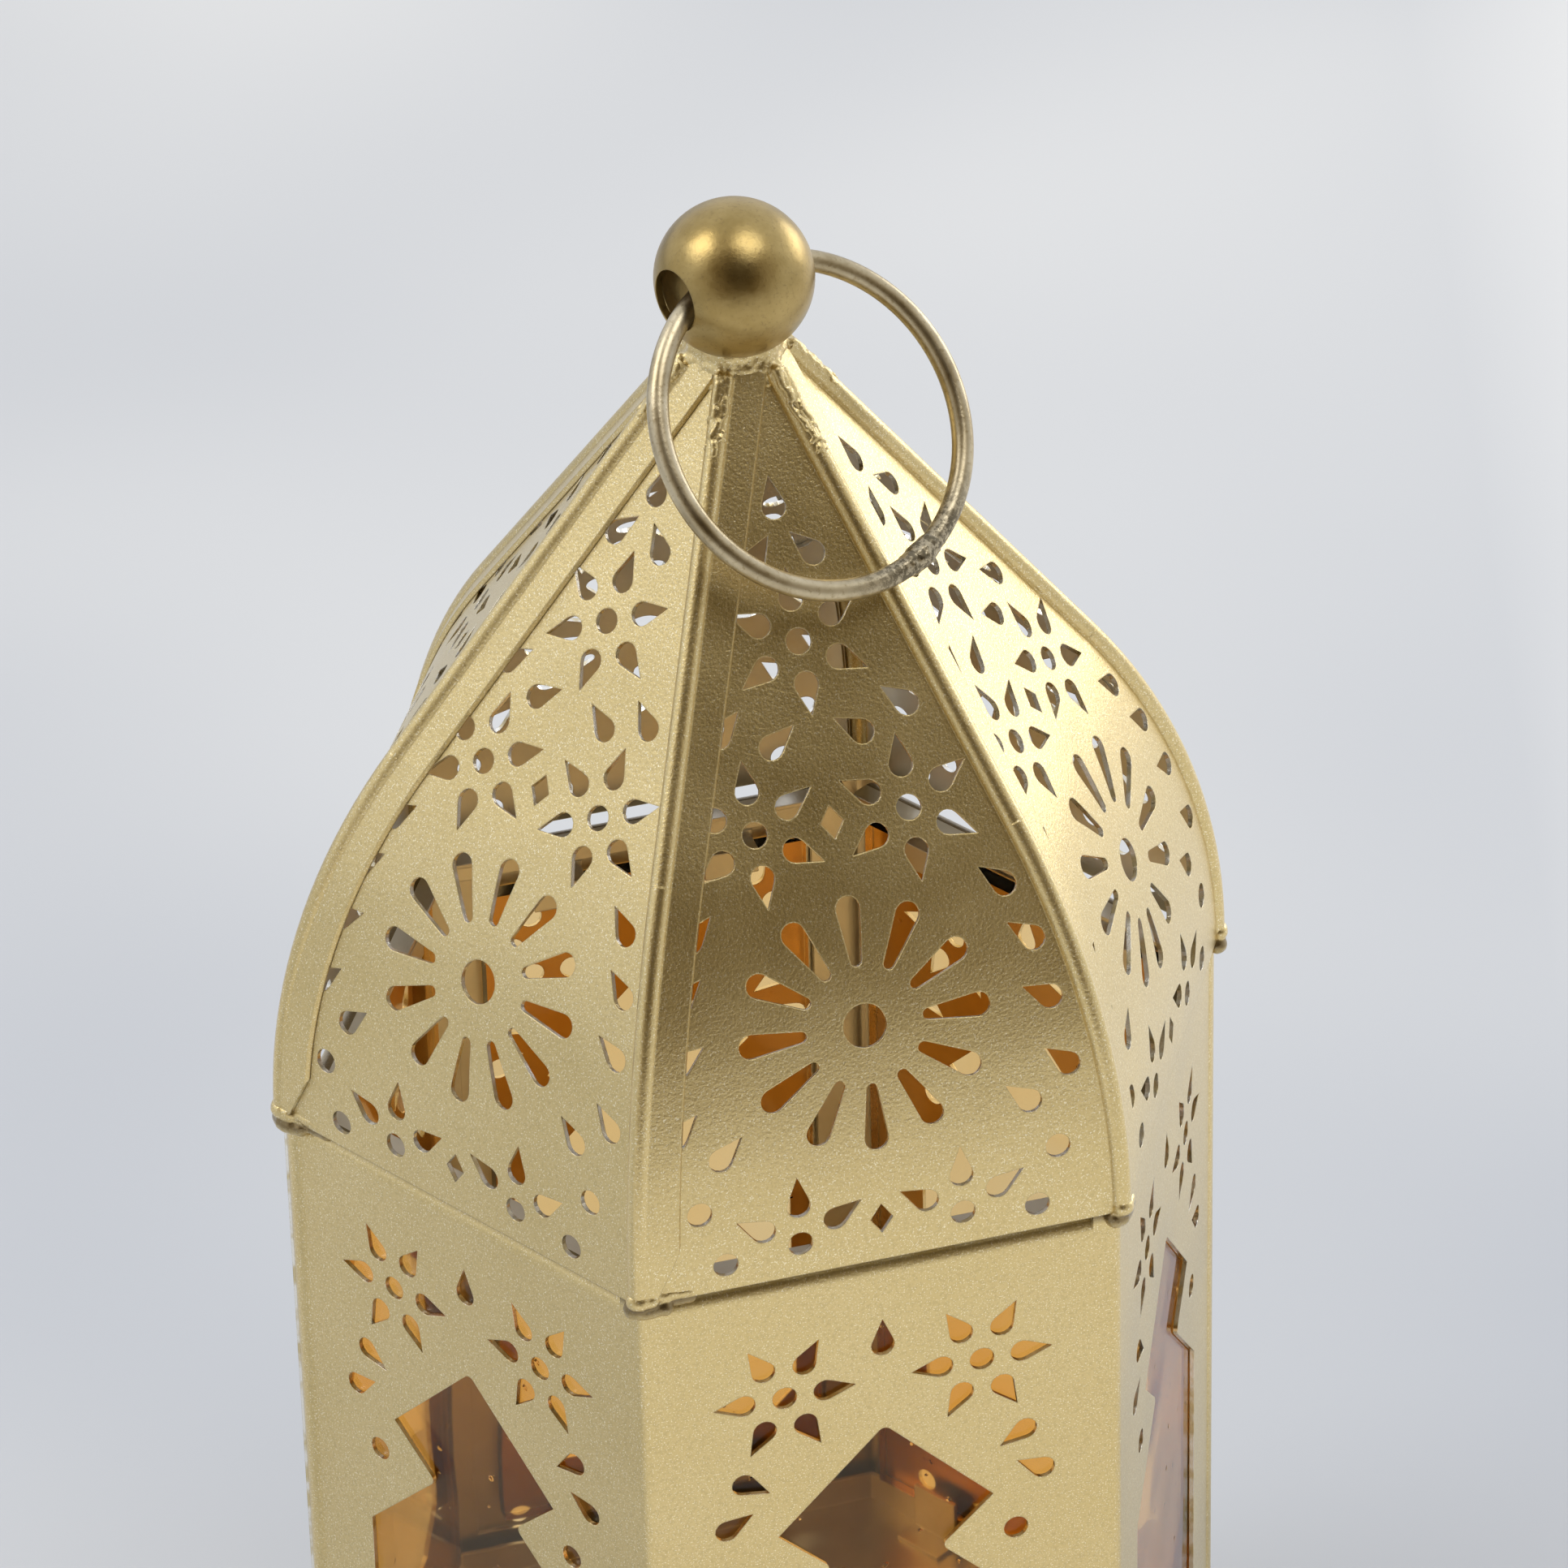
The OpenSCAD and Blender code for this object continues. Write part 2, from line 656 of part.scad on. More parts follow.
module hinge_straps() {
    color("tan") face(DOOR_FACE) for (z = hinge_places) {
        plate(sheet, sheet) translate([-flat_half, z - hinge_l / 2])
            square([hinge_u - knuckle_d / 2 + flat_half, hinge_l]);
        for (side = [-1, 1]) difference() {
            union() {
                translate([0, 0, z + side * (knuckle_l + knuckle_gap / 2)]) {
                    hinge_barrel(0, knuckle_l - knuckle_gap);
                    plate(sheet, sheet) translate([hinge_u - knuckle_d, -(knuckle_l - knuckle_gap) / 2])
                        square([knuckle_d, knuckle_l - knuckle_gap]);
                }
            }
            translate([hinge_u, -(body_a + hinge_n), z - hinge_l])
                cylinder(h = 2 * hinge_l, r = pin_d / 2 + pin_fit);
        }
    }
}

module hinge_pins() {
    color("goldenrod") face(DOOR_FACE) for (z = hinge_places)
        translate([hinge_u, -(body_a + hinge_n), z - hinge_l / 2 - 0.4]) {
            cylinder(h = hinge_l + 0.4, d = pin_d);
            translate([0, 0, hinge_l + 0.5]) cylinder(h = 0.6, d = knuckle_d);
            translate([0, 0, hinge_l]) cylinder(h = 0.6, d = pin_d);
        }
}

module door_glass() {
    color("darkorange", 0.8) face(DOOR_FACE) plate(door_gap - glass_fit, glass_t)
        translate([door_glass_left, door_glass_foot])
            square([door_glass_right - door_glass_left, door_glass_top - door_glass_foot]);
}

// Tab on the door at one end of its pane; up is 1 at the top and -1 at the foot
module door_tab(z, up) {
    out = body_a + door_gap;
    back = out - 2 * glass_fit - glass_t;
    polygon([[out, z + up * (door_tab_foot + glass_fit)], [out - sheet, z + up * (door_tab_foot + glass_fit)],
             [out - sheet, z + up * (glass_fit + sheet)], [back - sheet, z + up * (glass_fit + sheet)],
             [back - sheet, z - up * tab_hold], [back, z - up * tab_hold],
             [back, z + up * glass_fit], [out, z + up * glass_fit]]);
}

module door_glass_tabs() {
    color("silver") face(DOOR_FACE) for (side = [-1, 1])
        translate([door_glass_mid + side * tab_w * 1.6, 0, 0]) along_face(tab_w) {
            door_tab(door_glass_top, 1);
            door_tab(door_glass_foot, -1);
        }
}

// Knob turned in one piece: head, foot, neck, and a stem through the washer and the door
module door_knob() {
    n0 = body_a + door_gap + sheet + washer_t;
    color("darkgoldenrod") face(DOOR_FACE) translate([knob_u, -n0, knob_z]) rotate([90, 0, 0])
        rotate_extrude() {
            translate([0, -sheet - washer_t]) square([knob_stem / 2, sheet + washer_t]);
            square([knob_d / 2 - 0.6, 0.8]);
            square([knob_neck, knob_reach - knob_d / 2]);
            intersection() {
                translate([0, knob_reach - knob_d / 2]) circle(d = knob_d);
                square([knob_d, knob_reach]);
            }
        }
}

module knob_washer() {
    color("silver") face(DOOR_FACE) translate([knob_u, -(body_a + door_gap + sheet), knob_z])
        rotate([90, 0, 0]) difference() {
            cylinder(h = washer_t, d = washer_d);
            translate([0, 0, -1]) cylinder(h = washer_t + 2, d = knob_stem);
        }
}

// Spring leaf on the door's inside, whose leg presses on the edge of the opening
module door_catch() {
    color("silver") face(DOOR_FACE) translate([0, 0, catch_z - catch_w / 2]) {
        leg_u = door_right - catch_gap - catch_t;
        linear_extrude(catch_w) {
            translate([leg_u - catch_foot, -(body_a + door_gap)]) square([catch_foot + catch_t, catch_t]);
            translate([leg_u, -(body_a + door_gap)]) square([catch_t, door_gap + catch_in]);
        }
    }
}

// Finial and ring -------------------------------------------------------------------------------

module ball_finial() {
    color("goldenrod") translate([0, 0, ball_z]) difference() {
        sphere(r = ball_r);
        sphere(r = ball_r - ball_wall);
        rotate([0, 0, ball_turn]) rotate([0, 90, 0]) cylinder(h = 2 * ball_d, d = ball_hole, center = true);
        translate([0, 0, -ball_d]) cylinder(h = ball_d, d = rivet_hole);
    }
}

// Rivet that draws the ball down on the roof: a plug under the roof's top, a shank and a domed head
module finial_rivet() {
    inside = ball_z - ball_r + ball_wall + lap_gap;
    head = 1;
    color("goldenrod") {
        translate([0, 0, roof_top_z - plug_down]) cylinder(h = plug_t, r = plug_r);
        translate([0, 0, roof_top_z - plug_down])
            cylinder(h = inside + head - roof_top_z + plug_down, r = rivet_hole / 2 - lap_gap);
        translate([0, 0, inside + head / 2]) cylinder(h = head, r = rivet_head_r);
    }
}

module hanging_ring() {
    color("goldenrod") rotate([0, 0, ball_turn])
        translate([ring_slide, -hook_down * sin(ring_lean), ball_z - hook_down * cos(ring_lean)])
            rotate([90 - ring_lean, 0, 0])
                rotate_extrude($fn = 96) translate([ring_r, 0]) circle(r = wire_r, $fn = 24);
}

// Base ------------------------------------------------------------------------------------------

// Hexagonal skirt with a hollow curve outside, a ledge inside at its top and a rolled foot
module base_skirt() {
    reach = skirt_foot_r - skirt_top_r;
    low = 2 * hem_r;
    tall = base_h - low;
    curve = [for (i = [0 : 6]) let(a = i * 15) [skirt_foot_r - reach * sin(a), low + tall * (1 - cos(a))]];
    inner = [for (i = [6 : -1 : 0]) let(a = i * 15)
        [skirt_foot_r - reach * sin(a) - 1.4 * sheet, low + tall * (1 - cos(a)) - (i > 4 ? sheet : 0)]];
    color("tan") rotate_extrude($fn = SIDES) {
        polygon(concat([[skirt_foot_r, hem_r]], curve,
                       [[skirt_top_r - skirt_ledge, base_h], [skirt_top_r - skirt_ledge, base_h - sheet]],
                       inner, [[skirt_foot_r - 1.4 * sheet, hem_r]]));
        translate([skirt_foot_r, hem_flat]) rotate(11.25) circle(r = hem_r, $fn = 16);
    }
}

module hex_plate(r, h) { linear_extrude(h) circle(r = r, $fn = SIDES); }

module at_rivets() {
    for (x = [-rivet_place, rivet_place]) translate([x, 0, 0]) children();
}

module floor_plate() {
    out = (body_a - sheet - lap_gap) / cos(STEP / 2) - corner_bend;
    wall = sheet / cos(STEP / 2);
    color("silver") translate([0, 0, base_h]) difference() {
        hex_plate(out, floor_rim);
        translate([0, 0, sheet]) hex_plate(out - wall, floor_rim);
        at_rivets() translate([0, 0, -1]) cylinder(h = 3, d = rivet_d);
        seam_room();
    }
}

module candle_cup() {
    color("silver") translate([0, 0, floor_z]) difference() {
        rotate_extrude() {
            square([cup_d / 2 + cup_wall, cup_wall]);
            translate([cup_d / 2, 0]) square([cup_wall, cup_h - lip_r]);
            translate([cup_d / 2 + lip_r, cup_h - lip_r]) circle(r = lip_r);
        }
        at_rivets() translate([0, 0, -cup_wall])
            cylinder(h = 3 * cup_wall, d1 = rivet_d - 2 * cup_wall, d2 = rivet_d + 4 * cup_wall);
    }
}

module cup_rivets() {
    color("silver") at_rivets() {
        translate([0, 0, base_h - 0.8]) cylinder(h = 0.8, d = 2 * rivet_d);
        translate([0, 0, base_h]) cylinder(h = sheet, d = rivet_d);
        translate([0, 0, floor_z]) cylinder(h = cup_wall, d1 = rivet_d, d2 = rivet_d + 2 * cup_wall);
    }
}

ball_finial();
finial_rivet();
hanging_ring();
roof_panel(0);  // roof_panel_1
roof_panel(1);  // roof_panel_2
roof_panel(2);  // roof_panel_3
roof_panel(3);  // roof_panel_4
roof_panel(4);  // roof_panel_5
roof_panel(5);  // roof_panel_6
front_shell();
rear_shell();
pane(0);  // glass_front
pane(1);  // glass_front_right
pane(2);  // glass_rear_right
pane(4);  // glass_rear_left
pane(5);  // glass_front_left
glass_tabs();
door_panel();
door_glass();
door_glass_tabs();
hinge_straps();
hinge_pins();
door_knob();
knob_washer();
door_catch();
base_skirt();
floor_plate();
candle_cup();
cup_rivets();
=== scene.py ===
"""Candle lantern of pierced, gold-painted sheet metal with amber glass: materials, solder and soft studio light."""
import json
import math

import bmesh
import bpy
from mathutils import Matrix, Vector, noise
from mathutils.bvhtree import BVHTree


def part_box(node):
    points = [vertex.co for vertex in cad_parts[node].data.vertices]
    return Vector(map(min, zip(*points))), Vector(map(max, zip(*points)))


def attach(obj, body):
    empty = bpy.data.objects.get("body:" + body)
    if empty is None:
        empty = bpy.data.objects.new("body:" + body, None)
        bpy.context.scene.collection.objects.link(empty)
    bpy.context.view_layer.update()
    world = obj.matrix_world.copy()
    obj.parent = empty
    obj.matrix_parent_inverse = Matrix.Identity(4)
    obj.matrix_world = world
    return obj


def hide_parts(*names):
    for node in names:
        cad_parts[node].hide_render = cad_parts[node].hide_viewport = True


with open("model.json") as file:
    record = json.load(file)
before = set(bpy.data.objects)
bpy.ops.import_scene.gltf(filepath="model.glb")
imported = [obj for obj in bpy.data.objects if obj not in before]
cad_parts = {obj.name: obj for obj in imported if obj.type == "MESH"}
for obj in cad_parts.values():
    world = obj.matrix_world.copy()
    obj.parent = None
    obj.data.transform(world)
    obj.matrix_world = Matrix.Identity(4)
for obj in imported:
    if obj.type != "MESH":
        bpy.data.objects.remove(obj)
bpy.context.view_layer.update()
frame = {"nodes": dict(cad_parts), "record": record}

MM = 0.001
EAVE = 0.110
BALL_R = 8.0 * MM
NECK_R = 3.5 * MM
RING_RADIUS = 16.9 * MM

# How the sheets' faces are told apart: painted outside, bare inside and cut edge
ROOF_BOW = 0.072
ROOF_PITCH = math.radians(34.3)
LAP_STRIP = 1.5 * MM
SHOULDER_ZONE = 3 * MM
LEDGE_REACH = 41.2 * MM
PAINTED, BARE, CUT = 0, 1, 2

# The camera's picture, and the length that its distances are counted in
PICTURE_WIDTH = 1932
CAMERA_UNIT = 0.051


# Shaders ---------------------------------------------------------------------------------------

class Finish:
    """A Principled material that is built up node by node."""

    def __init__(self, name, colour, metallic, roughness, **sockets):
        self.material = bpy.data.materials.new(name)
        self.material.use_nodes = True
        self.tree = self.material.node_tree
        self.shader = self.tree.nodes["Principled BSDF"]
        self.shader.inputs["Base Color"].default_value = (*colour, 1)
        self.shader.inputs["Metallic"].default_value = metallic
        self.shader.inputs["Roughness"].default_value = roughness
        for socket, value in sockets.items():
            self.shader.inputs[socket.replace("_", " ")].default_value = value
        self.place = self.add("ShaderNodeTexCoord").outputs["Object"]

    def add(self, kind, **settings):
        node = self.tree.nodes.new(kind)
        for key, value in settings.items():
            setattr(node, key, value)
        return node

    def join(self, source, target):
        self.tree.links.new(source, target)

    def noise(self, scale, detail=2.0, rough=0.5):
        node = self.add("ShaderNodeTexNoise")
        node.inputs["Scale"].default_value = scale
        node.inputs["Detail"].default_value = detail
        node.inputs["Roughness"].default_value = rough
        self.join(self.place, node.inputs["Vector"])
        return node.outputs["Fac"]

    def along(self, direction):
        """How far a place lies in a direction, in metres."""
        node = self.add("ShaderNodeVectorMath", operation="DOT_PRODUCT")
        node.inputs[1].default_value = direction
        self.join(self.place, node.inputs[0])
        return node.outputs["Value"]

    def spread(self, value, low, high, to_low=0.0, to_high=1.0):
        node = self.add("ShaderNodeMapRange")
        ends = {"From Min": low, "From Max": high, "To Min": to_low, "To Max": to_high}
        for socket, number in ends.items():
            node.inputs[socket].default_value = number
        self.join(value, node.inputs["Value"])
        return node.outputs["Result"]

    def blend(self, share, first, second):
        """One colour over another. Each may be a tuple or a socket, and so may the share."""
        node = self.add("ShaderNodeMix", data_type="RGBA")
        for socket, value in ((0, share), (6, first), (7, second)):
            if isinstance(value, tuple):
                node.inputs[socket].default_value = (*value, 1)
            else:
                self.join(value, node.inputs[socket])
        return node.outputs[2]

    def product(self, first, second):
        node = self.add("ShaderNodeMath", operation="MULTIPLY")
        self.join(first, node.inputs[0])
        self.join(second, node.inputs[1])
        return node.outputs[0]

    def colour(self, value):
        self.join(value, self.shader.inputs["Base Color"])

    def rough(self, value):
        self.join(value, self.shader.inputs["Roughness"])

    def relief(self, *layers, edge=0.0):
        """Bumps, each (height, depth in metres), over edges rounded by a radius."""
        under = None
        if edge:
            bevel = self.add("ShaderNodeBevel", samples=4)
            bevel.inputs["Radius"].default_value = edge
            under = bevel.outputs["Normal"]
        for height, depth in layers:
            bump = self.add("ShaderNodeBump")
            bump.inputs["Strength"].default_value = 1.0
            bump.inputs["Distance"].default_value = depth
            self.join(height, bump.inputs["Height"])
            if under is not None:
                self.join(under, bump.inputs["Normal"])
            under = bump.outputs["Normal"]
        self.join(under, self.shader.inputs["Normal"])


def gold_paint():
    """Pale gold metallic paint with an orange peel and bright flakes, and painted shade in the crease under the
    eave.
    """
    f = Finish("gold_paint", (0.64, 0.51, 0.25), 1.0, 0.34, Coat_Weight=0.45, Coat_Roughness=0.3)
    grain, flake, cloud = f.noise(3000, 2, 0.6), f.noise(6200, 1, 0.5), f.noise(45, 3, 0.6)
    base = f.blend(f.spread(cloud, 0.3, 0.7), (0.635, 0.495, 0.22), (0.69, 0.55, 0.265))
    base = f.blend(f.spread(grain, 0.38, 0.50, 0.35, 0), base, (0.47, 0.36, 0.16))
    base = f.blend(f.spread(flake, 0.61, 0.68, 0, 0.8), base, (0.95, 0.87, 0.64))
    # Painted shade: a dark band just under the eave, where the roof's edge shades the body.
    level = f.along((0, 0, 1))
    crease_shade = f.product(f.spread(level, EAVE - 1.5 * MM, EAVE - 0.6 * MM, 0, 0.8),
                       f.spread(level, EAVE - 0.1 * MM, EAVE + 0.1 * MM, 1, 0))
    f.colour(f.blend(crease_shade, base, (0.13, 0.085, 0.035)))
    f.rough(f.spread(cloud, 0.3, 0.7, 0.31, 0.39))
    f.relief((grain, 0.045 * MM), (f.noise(70, 1, 0.4), 0.3 * MM), edge=0.22 * MM)
    return f.material


def antique_brass(name="antique_brass", dark=(0.33, 0.235, 0.085), light=(0.45, 0.335, 0.14),
                  joint=None):
    """Aged brass. Where a soldered joint is named, the metal round it is dark and speckled from the heat."""
    f = Finish(name, light, 1.0, 0.32)
    patch, fine = f.noise(160, 4, 0.65), f.noise(2600, 3, 0.6)
    base = f.blend(f.spread(patch, 0.35, 0.65), dark, light)
    base = f.blend(f.spread(fine, 0.56, 0.70, 0, 0.5), base, (0.24, 0.17, 0.075))
    if joint:
        apart = f.add("ShaderNodeVectorMath", operation="DISTANCE")
        f.join(f.place, apart.inputs[0])
        apart.inputs[1].default_value = joint
        speckle = f.spread(f.noise(1500, 4, 0.75), 0.46, 0.56)
        burnt = f.blend(speckle, (0.085, 0.07, 0.045), (0.42, 0.36, 0.25))
        base = f.blend(f.spread(apart.outputs["Value"], 4.5 * MM, 11 * MM, 0.85, 0), base, burnt)
    f.colour(base)
    f.rough(f.spread(patch, 0.3, 0.7, 0.27, 0.38))
    f.relief((fine, 0.016 * MM), (f.noise(220, 2, 0.5), 0.06 * MM), edge=0.2 * MM)
    return f.material


def plain_brass():
    f = Finish("plain_brass", (0.62, 0.46, 0.2), 1.0, 0.3)
    f.rough(f.spread(f.noise(500, 3), 0.3, 0.7, 0.24, 0.38))
    f.relief((f.noise(1800, 2), 0.01 * MM), edge=0.2 * MM)
    return f.material


def tin_plate():
    f = Finish("tin_plate", (0.80, 0.75, 0.65), 1.0, 0.34)
    cloud = f.noise(120, 4, 0.6)
    f.colour(f.blend(f.spread(cloud, 0.35, 0.65), (0.76, 0.70, 0.59), (0.84, 0.79, 0.69)))
    f.rough(f.spread(cloud, 0.3, 0.7, 0.28, 0.45))
    f.relief((f.noise(900, 2), 0.01 * MM), edge=0.2 * MM)
    return f.material


def cut_edge():
    """The punched sheet's edge, bare where the paint is thin."""
    f = Finish("cut_edge", (0.78, 0.73, 0.60), 1.0, 0.24)
    f.colour(f.blend(f.spread(f.noise(420, 2), 0.45, 0.6), (0.86, 0.84, 0.78), (0.66, 0.56, 0.34)))
    f.relief((f.noise(1800, 2), 0.02 * MM), edge=0.1 * MM)
    return f.material


def spring_steel():
    f = Finish("spring_steel", (0.42, 0.42, 0.44), 1.0, 0.28)
    f.rough(f.spread(f.noise(700, 2), 0.3, 0.7, 0.22, 0.34))
    return f.material


def amber_glass():
    """Clear amber with faint clouds, a slow wave and a few small bubbles."""
    f = Finish("amber_glass", (0.98, 0.65, 0.28), 0.0, 0.03, Transmission_Weight=1.0, IOR=1.3)
    cells = f.add("ShaderNodeTexVoronoi")
    cells.inputs["Scale"].default_value = 420
    f.join(f.place, cells.inputs["Vector"])
    near_middle = f.spread(cells.outputs["Distance"], 0.06, 0.16, 1, 0)
    bubbles = f.product(near_middle, f.spread(f.noise(260, 1), 0.60, 0.64))
    amber = f.blend(f.spread(f.noise(55, 2), 0.35, 0.65), (0.995, 0.67, 0.27), (0.995, 0.73, 0.35))
    f.colour(f.blend(bubbles, amber, (0.90, 0.46, 0.13)))
    f.relief((bubbles, 0.12 * MM), (f.noise(45, 1, 0.4), 0.3 * MM))
    return f.material


PAINT = gold_paint()
TIN = tin_plate()
CUT_EDGE = cut_edge()
MATERIALS = {"gold_paint": PAINT, "antique_brass": antique_brass(), "plain_brass": plain_brass(),
             "amber_glass": amber_glass(), "tin_plate": TIN, "spring_steel": spring_steel()}
SLOTS = {part["node"]: part["material_slot"] for part in frame["record"]["subparts"]}
BODY_OF = {node: body for body, nodes in frame["record"]["behaviour"]["bodies"].items()
           for node in nodes}


# Sheet metal: merged copies of the solids, shaded smooth over their bows, with bare tin inside --

def smooth_under(mesh, degrees):
    """Shades a bmesh smooth, with edges sharper than the angle kept sharp."""
    for face in mesh.faces:
        face.smooth = True
    for edge in mesh.edges:
        edge.smooth = len(edge.link_faces) == 2 and edge.calc_face_angle(4) < math.radians(degrees)


def piece_from(mesh, name, body, materials):
    """A piece of the lantern made from a bmesh, which rides on a body."""
    data = bpy.data.meshes.new(name)
    mesh.to_mesh(data)
    mesh.free()
    for material in materials:
        data.materials.append(material)
    piece = bpy.data.objects.new(name, data)
    bpy.context.scene.collection.objects.link(piece)
    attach(piece, body)
    return piece


def dressed(node, degrees, side=None):
    """A merged copy that stands for a CAD node. side tells a face's finish: PAINTED, BARE or CUT."""
    mesh = bmesh.new()
    mesh.from_mesh(frame["nodes"][node].data)
    bmesh.ops.remove_doubles(mesh, verts=mesh.verts, dist=1e-6)
    bmesh.ops.dissolve_degenerate(mesh, edges=mesh.edges, dist=1e-7)
    smooth_under(mesh, degrees)
    for face in mesh.faces:
        face.material_index = side(face) if side else PAINTED
    slot = SLOTS[node]
    main = RING_BRASS if node == "hanging_ring" else MATERIALS[slot]
    piece = piece_from(mesh, node + "_finished", BODY_OF[node], [main, TIN, CUT_EDGE])
    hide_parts(node)


def face_frame(point):
    """Outward and sideways directions of the lantern's face that a point belongs to."""
    sector = round((math.degrees(math.atan2(point.y, point.x)) + 90) / 60)
    angle = math.radians(sector * 60 - 90)
    return Vector((math.cos(angle), math.sin(angle), 0)), Vector((-math.sin(angle), math.cos(angle), 0))


def finish_by(facing):
    return BARE if facing < -0.35 else CUT if facing < 0.35 else PAINTED


def roof_side(face):
    """The finish of a roof panel's face. The rolled ridge and its lap are painted all round."""
    middle = face.calc_center_median()
    out, across = face_frame(middle)
    if abs(middle.dot(across)) > middle.dot(out) * math.tan(math.radians(30)) - LAP_STRIP:
        return PAINTED
    rise = (middle.z - EAVE) / ROOF_BOW
    tilt = math.asin(min(max(rise, 0), math.sin(ROOF_PITCH)))
    return finish_by(face.normal.dot(out * math.cos(tilt) + Vector((0, 0, math.sin(tilt)))))


def body_side(face):
    """The finish of a face of the body's shells or door, whose shoulder bends inwards at the top."""
    middle = face.calc_center_median()
    out, across = face_frame(middle)
    facing = face.normal.dot(out)
    if middle.z > EAVE - SHOULDER_ZONE:
        ledge = abs(face.normal.z) > 0.9 and middle.dot(out) < LEDGE_REACH
        return BARE if ledge or facing < -0.2 else PAINTED
    return finish_by(facing)


def ring_point(degrees):
    """A point on the ring's centreline at rest, at an angle down from its swing axis."""
    swing = next(joint for joint in frame["record"]["behaviour"]["joints"] if joint["name"] == "ring_swing")
    low, high = (Vector(corner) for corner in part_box("hanging_ring"))
    middle = (low + high) / 2
    across = -Vector(swing["axis"]).normalized()
    hang = middle - Vector(swing["pos_m"])
    down = (hang - across * hang.dot(across)).normalized()
    turn = math.radians(degrees)
    return middle + RING_RADIUS * (math.cos(turn) * across + math.sin(turn) * down)


RING_BRASS = antique_brass("ring_brass", (0.38, 0.31, 0.19), (0.60, 0.52, 0.36), tuple(ring_point(70)))
SIDE_OF = {"front_shell": body_side, "rear_shell": body_side, "door_panel": body_side}
ROUND_NODES = ("candle_cup", "cup_rivets", "hinge_straps")
for node in sorted(frame["nodes"]):
    if node.startswith("roof_panel"):
        dressed(node, 20, roof_side)
    elif node in SIDE_OF:
        dressed(node, 25, SIDE_OF[node])
    elif SLOTS[node] in ("antique_brass", "plain_brass") or node in ROUND_NODES:
        dressed(node, 35)
for node, piece in frame["nodes"].items():
    for slot in piece.material_slots:
        slot.material = MATERIALS[SLOTS[node]]


# Solder --------------------------------------------------------------------------------------

def melted(name, drops, grain, voxel, body, material, seed):
    """Drops of solder, each (place, radius in mm), run together into one piece with an uneven skin."""
    mesh = bmesh.new()
    for place, radius in drops:
        bmesh.ops.create_icosphere(mesh, subdivisions=2, radius=radius * MM,
                                   matrix=Matrix.Translation(place))
    rough = bpy.data.meshes.new(name + "_drops")
    mesh.to_mesh(rough)
    mesh.free()
    mould = bpy.data.objects.new(name + "_drops", rough)
    bpy.context.scene.collection.objects.link(mould)
    remesh = mould.modifiers.new("run_together", "REMESH")
    remesh.mode, remesh.voxel_size = "VOXEL", voxel * MM
    soften = mould.modifiers.new("soften", "SMOOTH")
    soften.factor, soften.iterations = 0.5, 8
    bpy.context.view_layer.update()
    view = bpy.context.evaluated_depsgraph_get()
    whole = bpy.data.meshes.new_from_object(mould.evaluated_get(view))
    bpy.data.objects.remove(mould)
    mesh = bmesh.new()
    mesh.from_mesh(whole)
    for vert in mesh.verts:
        coarse = noise.noise(vert.co * 1100 + Vector((seed, 0, 0)))
        fine = noise.noise(vert.co * 2600 + Vector((0, seed, 0)))
        vert.co += vert.normal * (coarse + 0.5 * fine) * grain * MM
    for face in mesh.faces:
        face.smooth = True
    piece_from(mesh, name, body, [material])


def uneven(seed, number, spread):
    """A steady number from about -spread to spread for the numbered drop of a seed."""
    return 1.6 * spread * noise.noise(Vector((seed * 7.31 + 0.37, number * 3.17 + 0.71, 0.5)))


def outward(degrees):
    angle = math.radians(degrees)
    return Vector((math.cos(angle), math.sin(angle), 0))


def skin(degrees, height, sheets):
    """The sheets' outermost point and its normal, in a direction from the lantern's axis at a height."""
    out = outward(degrees)
    start = out * 0.09 + Vector((0, 0, height))
    hits = [tree.ray_cast(start, -out)[:2] for tree in sheets]
    hits = [hit for hit in hits if hit[0] and hit[0].dot(out) > 0]
    return max(hits, key=lambda hit: hit[0].dot(out)) if hits else (None, None)


def sheet_of(node):
    data = frame["nodes"][node].data
    return BVHTree.FromPolygons([vert.co for vert in data.vertices],
                                [face.vertices for face in data.polygons])


ROOF = [sheet_of(f"roof_panel_{number}") for number in range(1, 7)]
SHELL = [sheet_of("front_shell"), sheet_of("rear_shell")]


def eave_solder(corner):
    """Painted solder over a corner of the eave, and along under the next face's edge."""
    drops = []
    for step in range(16):
        share = step / 15
        height = EAVE + (0.6 - 0.15 * share + uneven(corner, step, 0.10)) * MM
        place, normal = skin(60 * corner - 0.8 + 6.3 * share, height, ROOF)
        size = 1.0 - 0.30 * share + uneven(corner, step + 20, 0.08)
        if place:
            drops.append((place - normal * (size - 0.42 + 0.28 * share) * MM, size))
    for step in range(12):
        share = step / 11
        place, normal = skin(60 * corner - 0.6 + 5.6 * share, EAVE - 0.8 * MM, SHELL)
        size = 1.1 - 0.25 * share + uneven(corner, step + 40, 0.08)
        if place:
            drops.append((place + normal * (0.35 - 0.15 * share) * MM, size))
    melted(f"corner_solder_{corner}", drops, 0.045, 0.15, "lantern", PAINT, 5.3 * corner)


